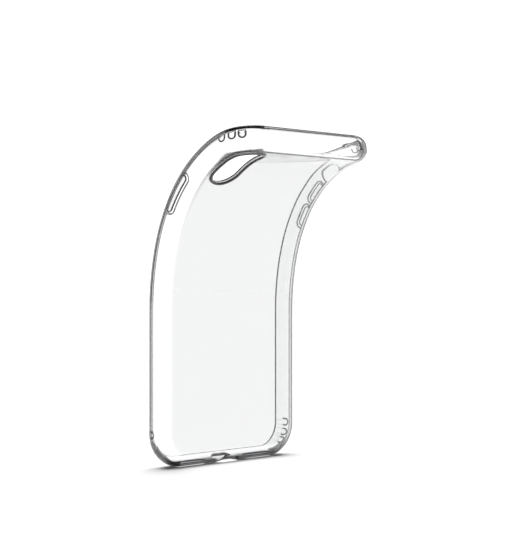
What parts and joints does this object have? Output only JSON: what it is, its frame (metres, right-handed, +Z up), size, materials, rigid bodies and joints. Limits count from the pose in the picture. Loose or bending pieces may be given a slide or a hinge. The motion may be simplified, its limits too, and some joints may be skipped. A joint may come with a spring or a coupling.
{
  "type": "phone case",
  "caption": "Clear flexible phone case peeled back from the top, with cushioned corners, wrapped side walls, button covers and a raised rim round the camera opening.",
  "frame": {"origin": "on the ground under the middle of the peeled-back case's bounding box; the case stands on its bottom wall", "axes": "+Z up along the straight lower half, +Y out of the pocket's open front, where the screen would be, -Y out of the back, +X to the right seen from the back"},
  "size_m": [0.079, 0.055, 0.1312],
  "materials": {
    "clear_panel": "clear colourless flexible plastic, glossy, slightly frosted",
    "clear_wall": "clear colourless flexible plastic, glossy, dark where it is seen edge on",
    "clear_button": "clear colourless flexible plastic, glossy",
    "camera_lip": "clear colourless flexible plastic, glossy, polished edge"
  },
  "bodies": {
    "tray": {"back_panel_lower": "clear_panel", "bottom_wall": "clear_wall", "corner_bottom_left": "clear_wall", "corner_bottom_right": "clear_wall", "side_wall_left_lower": "clear_wall", "side_wall_right_lower": "clear_wall"},
    "slice_1": {"back_panel_slice_1": "clear_panel", "side_wall_left_slice_1": "clear_wall", "side_wall_right_slice_1": "clear_wall"},
    "slice_2": {"back_panel_slice_2": "clear_panel", "side_wall_left_slice_2": "clear_wall", "side_wall_right_slice_2": "clear_wall"},
    "slice_3": {"back_panel_slice_3": "clear_panel", "side_wall_left_slice_3": "clear_wall", "side_wall_right_slice_3": "clear_wall"},
    "slice_4": {"back_panel_slice_4": "clear_panel", "side_wall_left_slice_4": "clear_wall", "side_wall_right_slice_4": "clear_wall"},
    "slice_5": {"back_panel_slice_5": "clear_panel", "side_wall_left_slice_5": "clear_wall", "side_wall_right_slice_5": "clear_wall", "camera_lip_slice_5": "camera_lip"},
    "slice_6": {"back_panel_slice_6": "clear_panel", "side_wall_left_slice_6": "clear_wall", "side_wall_right_slice_6": "clear_wall", "camera_lip_slice_6_outer": "camera_lip", "camera_lip_slice_6_inner": "camera_lip"},
    "slice_7": {"back_panel_slice_7": "clear_panel", "side_wall_left_slice_7": "clear_wall", "side_wall_right_slice_7": "clear_wall", "camera_lip_slice_7_outer": "camera_lip", "camera_lip_slice_7_inner": "camera_lip"},
    "top_end": {"back_panel_top": "clear_panel", "corner_top_left": "clear_wall", "corner_top_right": "clear_wall", "top_wall": "clear_wall", "camera_lip_top": "camera_lip"},
    "power_button": {"power_cover": "clear_button"},
    "volume_up_button": {"volume_up_cover": "clear_button"},
    "volume_down_button": {"volume_down_cover": "clear_button"}
  },
  "joints": [
    {"name": "flex_1", "type": "hinge", "parent": "tray", "child": "slice_1", "pos_m": [0, 0.02241, 0.066], "axis": [1, 0, 0], "range_deg": [-5.83, 1.7]},
    {"name": "flex_2", "type": "hinge", "parent": "slice_1", "child": "slice_2", "pos_m": [0, 0.0214, 0.07595], "axis": [1, 0, 0], "range_deg": [-5.46, 1.59]},
    {"name": "flex_3", "type": "hinge", "parent": "slice_2", "child": "slice_3", "pos_m": [0, 0.01944, 0.08576], "axis": [1, 0, 0], "range_deg": [-7.03, 2.05]},
    {"name": "flex_4", "type": "hinge", "parent": "slice_3", "child": "slice_4", "pos_m": [0, 0.0163, 0.09525], "axis": [1, 0, 0], "range_deg": [-9.47, 2.77]},
    {"name": "flex_5", "type": "hinge", "parent": "slice_4", "child": "slice_5", "pos_m": [0, 0.0107, 0.10587], "axis": [1, 0, 0], "range_deg": [-12.33, 3.6]},
    {"name": "flex_6", "type": "hinge", "parent": "slice_5", "child": "slice_6", "pos_m": [0, 0.00297, 0.11504], "axis": [1, 0, 0], "range_deg": [-14.34, 4.19]},
    {"name": "flex_7", "type": "hinge", "parent": "slice_6", "child": "slice_7", "pos_m": [0, -0.00679, 0.12202], "axis": [1, 0, 0], "range_deg": [-13.45, 3.93]},
    {"name": "flex_8", "type": "hinge", "parent": "slice_7", "child": "top_end", "pos_m": [0, -0.0142, 0.12503], "axis": [1, 0, 0], "range_deg": [-15.79, 4.61]},
    {"name": "power_press", "type": "slide", "parent": "slice_5", "child": "power_button", "axis": [1, 0, 0], "range_m": [0, 0.0005], "stiffness_N_per_m": 800},
    {"name": "volume_up_press", "type": "slide", "parent": "slice_5", "child": "volume_up_button", "axis": [-1, 0, 0], "range_m": [0, 0.0005], "stiffness_N_per_m": 800},
    {"name": "volume_down_press", "type": "slide", "parent": "slice_4", "child": "volume_down_button", "axis": [-1, 0, 0], "range_m": [0, 0.0005], "stiffness_N_per_m": 800}
  ],
  "couplings": [
    {"joint": "flex_2", "follows": "flex_1", "ratio": 0.93606},
    {"joint": "flex_3", "follows": "flex_1", "ratio": 1.2065},
    {"joint": "flex_4", "follows": "flex_1", "ratio": 1.6252},
    {"joint": "flex_5", "follows": "flex_1", "ratio": 2.1156},
    {"joint": "flex_6", "follows": "flex_1", "ratio": 2.4614},
    {"joint": "flex_7", "follows": "flex_1", "ratio": 2.3083},
    {"joint": "flex_8", "follows": "flex_1", "ratio": 2.7096}
  ]
}
